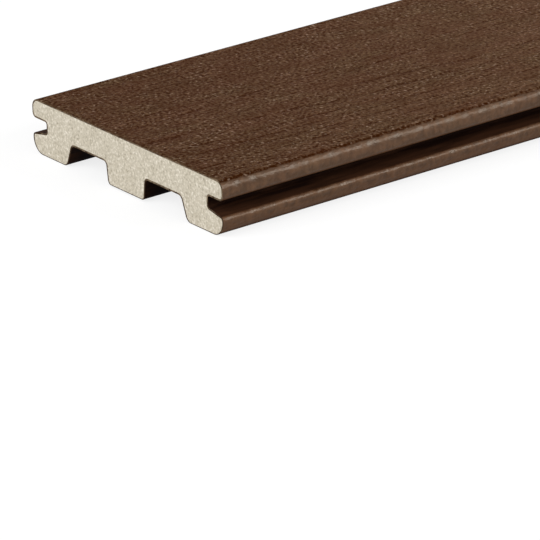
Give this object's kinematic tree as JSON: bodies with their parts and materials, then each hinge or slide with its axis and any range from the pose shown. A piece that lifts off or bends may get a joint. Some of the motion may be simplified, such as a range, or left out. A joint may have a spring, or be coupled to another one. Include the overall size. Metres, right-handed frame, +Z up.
{
  "type": "decking board",
  "caption": "Grooved deck board: a pale core in a thin embossed brown cap, with rounded top edges, a clip groove along each side and a scalloped underside.",
  "frame": {"origin": "middle of the board's box at its bottom, on the plane that the outer feet lie on", "axes": "+Y along the board's length from the near sawn end to the far one, +X across its width to the right, +Z up through its thickness to the walking face"},
  "size_m": [0.1396, 2.438, 0.0254],
  "materials": {
    "core": "sawn, matt, pale cream with fine fibre specks",
    "cap": "embossed wood grain on top, smooth satin on the edges, dark brown"
  },
  "bodies": {
    "root": {"core": "core", "cap": "cap"}
  },
  "joints": []
}
